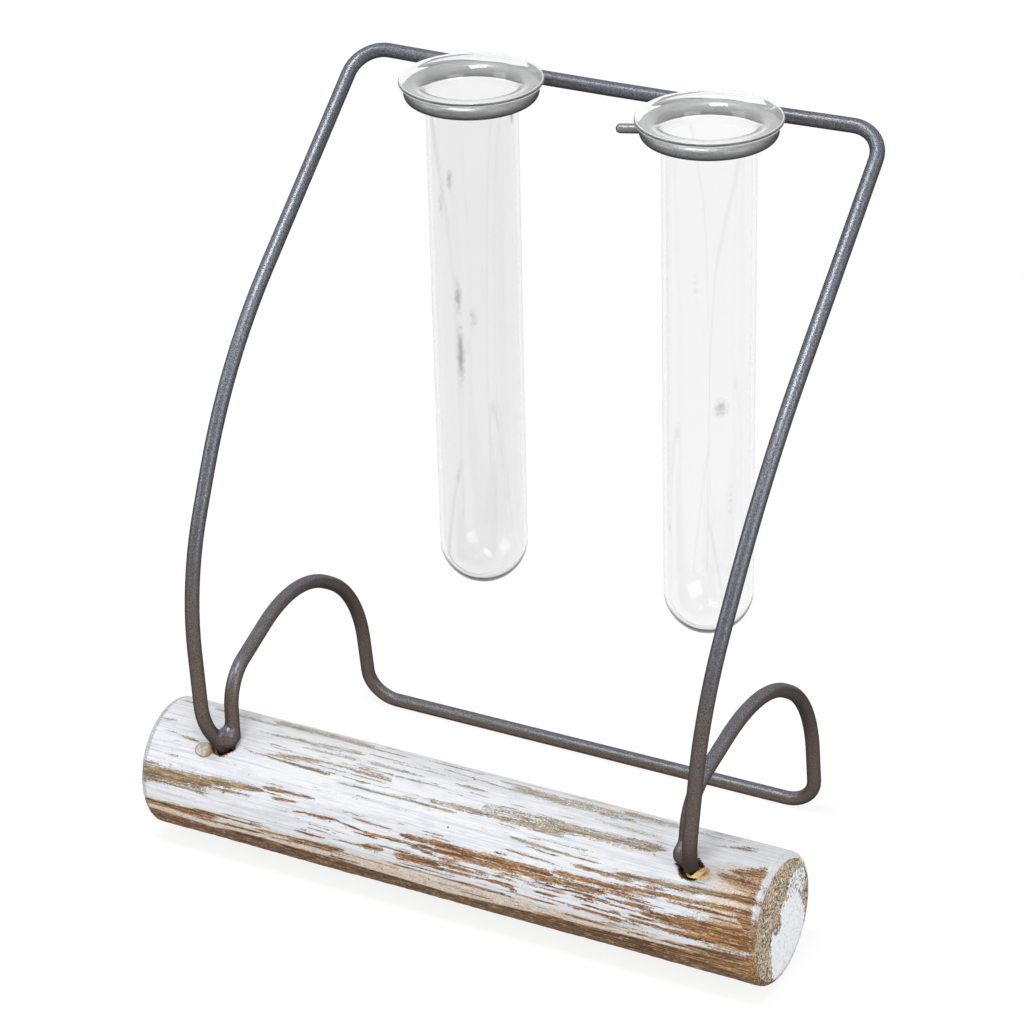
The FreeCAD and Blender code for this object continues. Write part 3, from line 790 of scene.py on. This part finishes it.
def make_log():
    front = np.arange(FRONT_ANGLES[0], FRONT_ANGLES[1], FRONT_ANGLE_STEP)
    rear = np.arange(FRONT_ANGLES[1], FRONT_ANGLES[0] + 360, BACK_ANGLE_STEP)
    angles = np.concatenate([front, rear])
    out_y, out_z = -np.sin(np.radians(angles)), np.cos(np.radians(angles))
    columns = len(angles)
    rows = log_rows()
    places = row_places(rows, out_y, out_z)
    row_side = np.repeat([row[0] for row in rows], columns)
    is_cap = np.repeat([row[1] for row in rows], columns)
    angle = np.tile(angles, len(rows))
    outward = np.stack([np.zeros_like(angle), np.tile(out_y, len(rows)),
                        np.tile(out_z, len(rows))], 1)

    x, y, z = places.T
    from_left, from_right = (x - end_x(-1, y, z)) * 1000, (end_x(1, y, z) - x) * 1000
    bare, warm, thin, grime = side_fields(x * 1000, angle, from_left, from_right)
    across, up = (y - log_axis.y) * 1000, (z - log_axis.z) * 1000
    for side in (-1, 1):
        chosen = is_cap & (row_side == side)
        bare[chosen], grime[chosen] = cap_fields(across[chosen], up[chosen], side)

    places = roughen(places, outward, bare, is_cap, row_side)
    for side_name in HOLES:
        places, bare, warm = drill(side_name, places, bare, warm)
    places[:, 2] = np.maximum(places[:, 2], 0)
    faces = ring_faces(len(rows), columns) + pole_faces(len(rows), columns, len(places))
    poles = [places[:columns].mean(0), places[-columns:].mean(0)]
    fields = {"bare": bare, "warm": warm, "thin": thin, "grime": grime}
    fields = {name: np.append(field, field[[0, -1]]) for name, field in fields.items()}
    log = add_mesh("log_body", np.concatenate([places, poles]), faces, **fields)
    log.data.materials.append(whitewash("whitewashed_wood"))
    log.data.materials.append(end_grain("sawn_end_grain"))
    cap = np.append(is_cap, [True, True])
    for face in log.data.polygons:
        face.material_index = int(all(cap[v] for v in face.vertices))
    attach(log, "stand")
    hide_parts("log")


# welds: metal drawn out from a bead onto both wires

WELD_DETAIL, WELD_MARCH, WELD_HALVINGS = 5, mm(0.12), 8
WELD_BLEND, WELD_COVER, WELD_EDGE_DROP = mm(1.1), mm(0.03), mm(0.12)
WELD_LUMP_SIZE, WELD_LUMP_HEIGHT = mm(0.9), mm(0.12)
WELD_FLATTEST_SHARE = 0.75
WELD_LOG_GAP = mm(0.15)
# for each: the wires that it joins, its bead's radius, how far it may reach, and the bead's
# shift from its place in the frame
WELDS = {
    "left_foot_weld": ("bow_wire", "foot_wire", mm(3.3), mm(6.4), (mm(0.7), mm(0.1), mm(-1.3))),
    "right_foot_weld": ("bow_wire", "foot_wire", mm(3.3), mm(5.6), (0, 0, mm(-0.4))),
    "left_ring_weld": ("bow_wire", "left_ring", mm(2.3), mm(4.6), (0, 0, 0)),
    "right_ring_weld": ("bow_wire", "right_ring", mm(2.4), mm(5.6), (0, 0, 0)),
}


def wire_tree(node):
    mesh = frame["nodes"][node].data
    return BVHTree.FromPolygons([v.co for v in mesh.vertices],
                                [tuple(p.vertices) for p in mesh.polygons])


def wire_distance(tree, point):
    place, normal, _, distance = tree.find_nearest(point)
    return distance if (point - place).dot(normal) > 0 else -distance


def soft_least(a, b, blend):
    share = max(blend - abs(a - b), 0) / blend
    return min(a, b) - share * share * blend / 4


def make_weld(name, material):
    first, second, bead, reach, shift = WELDS[name]
    low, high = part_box(name)
    middle = (low + high) / 2 + Vector(shift)
    size = high - low
    stretch = Vector([max(extent / max(size), WELD_FLATTEST_SHARE) for extent in size])
    trees = [wire_tree(first), wire_tree(second)]

    def skin(point, away):
        # below zero inside the weld, at a point this far from the bead's middle
        wires = soft_least(*(wire_distance(tree, point) for tree in trees), WELD_BLEND)
        local = point - middle
        ball = Vector([a / b for a, b in zip(local, stretch)]).length - bead
        value = soft_least(wires, ball, WELD_BLEND)
        lump = noise.noise(point / WELD_LUMP_SIZE) * WELD_LUMP_HEIGHT
        fade = (away / reach) ** 4
        value = value - WELD_COVER - lump * (1 - fade) + WELD_EDGE_DROP * fade
        from_log = hypot(point.y - log_axis.y, point.z - log_axis.z) - log_radius
        return max(value, WELD_LOG_GAP - from_log)

    bpy.ops.mesh.primitive_ico_sphere_add(subdivisions=WELD_DETAIL, radius=1)
    weld = bpy.context.object
    weld.name = weld.data.name = name + "_bead"
    for vertex in weld.data.vertices:
        # march out from the middle to the skin, then halve the last step
        way = vertex.co.normalized()
        away = 0
        while away < reach and skin(middle + way * away, away) < 0:
            away += WELD_MARCH
        near, far = max(away - WELD_MARCH, 0), min(away, reach)
        for _ in range(WELD_HALVINGS):
            half = (near + far) / 2
            if skin(middle + way * half, half) < 0:
                near = half
            else:
                far = half
        vertex.co = middle + way * far
    weld.data.shade_smooth()
    weld.data.materials.append(material)
    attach(weld, "stand")
    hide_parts(name)


# glass tubes, turned about their axes, with a rounded lip and a slightly uneven wall

GLASS_WALL, BASE_EXTRA = mm(1.2), mm(0.5)
THROAT_RADIUS, RIM_RADIUS, LIP_RADIUS = mm(5), mm(19.5), mm(0.62)
BOTTOM_STEPS, WALL_STEPS, FLARE_STEPS, LIP_STEPS = 24, 60, 16, 12
TUBE_COLUMNS = 192
# the glass is uneven by this much, with features of this length and this many around it, and
# less so near the axis
GLASS_WAVE, WAVE_LENGTH, WAVE_TURNS, WAVE_FULL_RADIUS = mm(0.05), mm(14), 1.5, mm(8)
# the lip is painted white, a painted highlight, but for a painted dark line between these shares
# of its height; the flare is painted a little white too
LIP_LINE_SHARES, FLARE_HIGHLIGHT = (-0.1, 0.8), 0.2


def arc(across, up, wide, high, first, last, steps):
    # points of an ellipse about (across, up), from one angle to another in degrees
    angles = [radians(first + (last - first) * number / steps) for number in range(steps + 1)]
    return [(across + wide * cos(angle), up + high * sin(angle)) for angle in angles]


def tube_profile(inner, half):
    # (distance from the axis, height), from the bottom's middle up the outside and down inside
    outer = inner + GLASS_WALL
    throat = outer + THROAT_RADIUS
    inside = THROAT_RADIUS + GLASS_WALL
    lip = (RIM_RADIUS - LIP_RADIUS, half + THROAT_RADIUS + GLASS_WALL / 2)
    heights = [-half + 2 * half * number / WALL_STEPS for number in range(1, WALL_STEPS)]
    return (arc(0, -half, outer, outer, -90, 0, BOTTOM_STEPS)
            + [(outer, height) for height in heights]
            + arc(throat, half, THROAT_RADIUS, THROAT_RADIUS, 180, 90, FLARE_STEPS)
            + arc(*lip, LIP_RADIUS, LIP_RADIUS, -90, 90, LIP_STEPS)
            + arc(throat, half, inside, inside, 90, 180, FLARE_STEPS)
            + [(inner, height) for height in reversed(heights)]
            + arc(0, -half, inner, inner - BASE_EXTRA, 0, -90, BOTTOM_STEPS))


# marks on the glass: (tube, angle from the camera's side, height from the middle, half width in
# degrees, half height in mm, how dark)
SMUDGES = [
    ("left", -31, 48, 7, 5, 0.75), ("left", -46, 41, 8, 7, 0.6), ("left", -24, 14, 8, 8, 0.75),
    ("left", -23, -3, 8, 13, 0.85), ("left", -5, 8, 9, 6, 0.6), ("left", 58, 64, 6, 3, 0.9),
    ("left", -31, -42, 8, 5, 0.45), ("left", 12, -30, 10, 6, 0.35),
    ("right", 11, -5, 14, 4, 0.75), ("right", 24, -34, 9, 9, 0.45), ("right", -20, 30, 7, 10, 0.4),
    ("right", -8, 52, 12, 5, 0.3),
]
SMUDGE_FRONT = 90 + CAMERA_AZIMUTH
SMUDGE_SPREAD = 1.3


def smudge_at(side_name, turn, height):
    most = 0.0
    for tube, aside, middle, half_turn, half_height, dark in SMUDGES:
        if tube == side_name:
            away = (turn - SMUDGE_FRONT - aside + 180) % 360 - 180
            far = hypot(away / half_turn, (height * 1000 - middle) / half_height)
            most = max(most, dark * max(0.0, SMUDGE_SPREAD - far))
    return min(most, 1.0)


def make_tube(side_name, material):
    mount = mounts[side_name + "_tube_bore"]
    axis = Vector(mount["axis"])
    middle = Vector(mount["pos_m"])
    across = axis.cross(Vector((0, 1, 0))).normalized()
    ahead = axis.cross(across)
    half = mm(mount["dims"]["length_mm"]) / 2
    profile = tube_profile(mm(mount["dims"]["r_mm"]), half)
    vertices, smudges, lip = [], [], []
    for number, (radius, height) in enumerate(profile[1:-1]):
        outside = number < len(profile) / 2
        on_lip = radius > RIM_RADIUS - LIP_RADIUS
        rise = (height - half - THROAT_RADIUS - GLASS_WALL / 2) / LIP_RADIUS
        # painted shade: a dark line around the lip, drawn in the smudges' colour
        painted_dark_line = on_lip and LIP_LINE_SHARES[0] < rise < LIP_LINE_SHARES[1]
        on_flare = height > half and not outside
        # painted highlight: white on the lip, but not on its painted dark line, and a little on
        # the flare
        lip += [1.0 if on_lip and not painted_dark_line else FLARE_HIGHLIGHT if on_flare else 0.0] * TUBE_COLUMNS
        for turn in turns(TUBE_COLUMNS):
            mark = smudge_at(side_name, degrees(turn), height) if outside else 0
            smudges.append(1 if painted_dark_line else mark)
            way = across * cos(turn) + ahead * sin(turn)
            point = middle + way * radius + axis * height
            wave = GLASS_WAVE * noise.noise((way.x * WAVE_TURNS, way.y * WAVE_TURNS,
                                             height / WAVE_LENGTH))
            vertices.append(point + way * wave * min(1, radius / WAVE_FULL_RADIUS))
    rows = len(profile) - 2
    faces = ring_faces(rows, TUBE_COLUMNS) + pole_faces(rows, TUBE_COLUMNS, len(vertices))
    vertices += [middle + axis * profile[0][1], middle + axis * profile[-1][1]]
    tube = add_mesh(side_name + "_glass", vertices, faces, smudge=smudges + [0, 0],
                    lip=lip + [0, 0])
    tube.data.materials.append(material)
    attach(tube, side_name + "_tube")
    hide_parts(side_name + "_tube")


# drop of glue beside the left hole: place along the log in mm and angle; half its length and
# width, and its thickness; how far its edge sinks in; how uneven its outline and its top are

DROP_PLACE = (-74.6, 39)
DROP_SIZE, DROP_SINK = (mm(2.9), mm(2.3), mm(0.55)), mm(0.3)
DROP_WOBBLE, DROP_LUMP = 0.12, mm(0.1)
DROP_RINGS, DROP_COLUMNS = 14, 48
# the shares of the way out over which the drop's edge takes painted shade, and of the way across
# over which its right side turns amber, a painted glint
DROP_SHADE_EDGE, DROP_GLINT_EDGE = (0.7, 0.95), (0.2, 0.7)


def on_log(along, angle, lift=0):
    # a point on the log's skin, by its place along in mm and its angle, and the way out there
    turn = radians(angle)
    out = Vector((0, -sin(turn), cos(turn)))
    return Vector((mm(along), log_axis.y, log_axis.z)) + out * (log_radius + lift), out


def make_glue_drop(material):
    half_length, half_width, thickness = DROP_SIZE
    vertices, grime, warm = [], [], []
    for ring in range(1, DROP_RINGS + 1):
        share = ring / DROP_RINGS
        for turn in turns(DROP_COLUMNS):
            wobble = 1 + DROP_WOBBLE * noise.noise((1.5 * cos(turn), 1.5 * sin(turn), 3))
            along = DROP_PLACE[0] + half_length * 1000 * share * wobble * cos(turn)
            arc_length = half_width * share * wobble * sin(turn)
            rise = thickness * sqrt(max(1 - share ** 2, 0)) - DROP_SINK * share ** 8
            lump = DROP_LUMP * noise.noise((0.7 * along, 700 * arc_length, 0))
            angle = DROP_PLACE[1] + degrees(arc_length / log_radius)
            vertices.append(on_log(along, angle, rise + lump)[0])
            # painted shade at the drop's edge and a painted glint on its right side
            grime.append(smooth_step(*DROP_SHADE_EDGE, share))
            warm.append(smooth_step(*DROP_GLINT_EDGE, share * cos(turn)))
    faces = [face[::-1] for face in ring_faces(DROP_RINGS, DROP_COLUMNS)]
    top = len(vertices)
    vertices.append(on_log(*DROP_PLACE, thickness)[0])
    faces += [(top, column, (column + 1) % DROP_COLUMNS) for column in range(DROP_COLUMNS)]
    drop = add_mesh("left_glue_drop", vertices, faces, grime=grime + [0], warm=warm + [0])
    drop.data.materials.append(material)
    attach(drop, "stand")


# curl of wood that the drill left in the right hole: its middle line, as place along in mm,
# angle, height over the log in mm, and twist

SHAVING = [
    (69.4, 31, -0.6, 10), (70.0, 35, 0.5, 30), (70.9, 38.5, 1.2, 60), (72.2, 38, 1.5, 110),
    (73.1, 34.5, 1.2, 150), (73.9, 30.5, 1.0, 190), (75.0, 28.5, 1.3, 230), (75.9, 31, 1.6, 280),
    (75.6, 34.5, 1.3, 320), (74.4, 36.5, 0.8, 350), (73.0, 37.5, 0.5, 380), (71.8, 36, 0.3, 400),
]
SHAVING_HALF_WIDTH, SHAVING_HALF_THICKNESS = mm(0.75), mm(0.2)
SHAVING_RAGGED_SHARE = 0.25
SHAVING_STEPS, SHAVING_CORNERS = 8, 12


def between(points, share):
    # a point of the smooth curve through these points
    place = share * (len(points) - 1)
    first = min(int(place), len(points) - 2)
    t = place - first
    a, b, c, d = (np.array(points[min(max(first + n, 0), len(points) - 1)]) for n in (-1, 0, 1, 2))
    return (b * 2 + (c - a) * t + (a * 2 - b * 5 + c * 4 - d) * t ** 2
            + (b * 3 - a - c * 3 + d) * t ** 3) / 2


def make_shaving(material):
    steps = (len(SHAVING) - 1) * SHAVING_STEPS
    knots = [between(SHAVING, number / steps) for number in range(steps + 1)]
    middle = [on_log(along, angle, mm(lift))[0] for along, angle, lift, _ in knots]
    vertices = []
    for number, (along, angle, _, twist) in enumerate(knots):
        ahead = (middle[min(number + 1, steps)] - middle[max(number - 1, 0)]).normalized()
        side = ahead.cross(on_log(along, angle)[1]).normalized()
        face = side.cross(ahead)
        twist = radians(twist)
        narrow = min(1.0, 4 * (0.02 + min(number, steps - number) / steps))
        ragged = 1 + SHAVING_RAGGED_SHARE * noise.noise((number * 0.45, 3.3, 0))
        wide = (side * cos(twist) + face * sin(twist)) * SHAVING_HALF_WIDTH * ragged
        thick = (face * cos(twist) - side * sin(twist)) * SHAVING_HALF_THICKNESS
        for turn in turns(SHAVING_CORNERS):
            around = wide * cos(turn) + thick * sin(turn)
            vertices.append(middle[number] + around * narrow)
    faces = ring_faces(steps + 1, SHAVING_CORNERS)
    faces.append(tuple(range(SHAVING_CORNERS))[::-1])
    faces.append(tuple(range(steps * SHAVING_CORNERS, len(vertices))))
    curl = add_mesh("right_hole_shaving", vertices, faces)
    curl.data.materials.append(material)
    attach(curl, "stand")


# light and floor: the camera sees white all around, but the light that comes from there is weaker

WHITE = (1, 1, 1)
WORLD_LIGHT = 0.38
FLOOR_RADIUS, FLOOR_CORNERS = 3, 72
FLOOR_GREY, FLOOR_GLOW = (0.92, 0.92, 0.92), 1.05
# the share of white over the floor's own shading near the object, and the distances over which
# it rises to one
FLOOR_WHITE_SHARE = 0.82
FLOOR_FADE = (0.3, 0.9)
# each lamp's place, its width and height, and its power; they point at the same place
LAMPS = {
    "key": ((-0.05, -0.27, 1.0), (0.42, 0.12), 4.6),
    "left_window": ((-0.75, -0.5, 0.55), (0.6, 0.6), 2.7),
    "right_window": ((1.0, -0.35, 0.5), (0.8, 0.8), 5.2),
}
LAMP_AIM = Vector((0, 0, 0.06))


def seen_directly(nodes):
    # one for what the camera sees, straight, in gloss or through glass
    rays = nodes.add("LightPath").outputs
    return nodes.most(*(rays[f"Is {kind} Ray"] for kind in ("Camera", "Glossy", "Transmission")))


def make_world():
    world = bpy.data.worlds.new("studio")
    bpy.context.scene.world = world
    world.use_nodes = True
    nodes = Nodes(world.node_tree)
    background = nodes.tree.nodes["Background"]
    nodes.plug(background.inputs["Color"], WHITE)
    nodes.plug(background.inputs["Strength"],
               nodes.spread(seen_directly(nodes), WORLD_LIGHT, 1))


def make_floor():
    rim = [(FLOOR_RADIUS * cos(turn), FLOOR_RADIUS * sin(turn), 0)
           for turn in turns(FLOOR_CORNERS)]
    floor = add_mesh("floor", rim, [tuple(range(FLOOR_CORNERS))])
    g = Graph("pale_floor")
    g.finish(FLOOR_GREY, 0.9)
    glow = g.add("Emission", {"Color": WHITE, "Strength": FLOOR_GLOW})
    distance = g.add("VectorMath", {0: g.place}, operation="LENGTH").outputs["Value"]
    white = g.spread(g.step(distance, *FLOOR_FADE), FLOOR_WHITE_SHARE, 1)
    white = g.times(seen_directly(g), white)
    g.show(g.blend(white, g.surface.outputs[0], glow.outputs[0]))
    floor.data.materials.append(g.material)


def make_lamps():
    for name, (place, (width, height), power) in LAMPS.items():
        lamp = bpy.data.lights.new(name, "AREA")
        lamp.shape = "RECTANGLE"
        lamp.size, lamp.size_y = width, height
        lamp.energy = power
        holder = add_object(name, lamp)
        holder.location = place
        aim = LAMP_AIM - Vector(place)
        holder.rotation_euler = aim.to_track_quat("-Z", "Y").to_euler()


def dress_nodes(material, *nodes):
    for node in nodes:
        mesh = frame["nodes"][node].data
        mesh.materials.clear()
        mesh.materials.append(material)


bpy.context.scene.view_settings.view_transform = "Standard"
make_camera()
make_world()
make_floor()
make_lamps()
make_log()
slate = satin_paint("slate_paint", SLATE, SLATE_BROWN, SLATE_SHADE_AND_FLECKS, SLATE_SHINE)
ring_grey = satin_paint("ring_paint", RING_GREY, RING_WARM, RING_SHADE_AND_FLECKS, RING_SHINE)
dress_nodes(slate, "bow_wire", "foot_wire")
dress_nodes(ring_grey, "left_ring", "right_ring")
for weld_name in WELDS:
    make_weld(weld_name, ring_grey if "ring" in weld_name else slate)
glue = dried_glue("dried_glue")
dress_nodes(glue, "left_glue", "right_glue")
make_glue_drop(glue)
make_shaving(torn_wood("torn_wood"))
make_tube("left", clear_glass("clear_glass", GLASS_CLEAR))
make_tube("right", clear_glass("clearer_glass", GLASS_CLEARER))
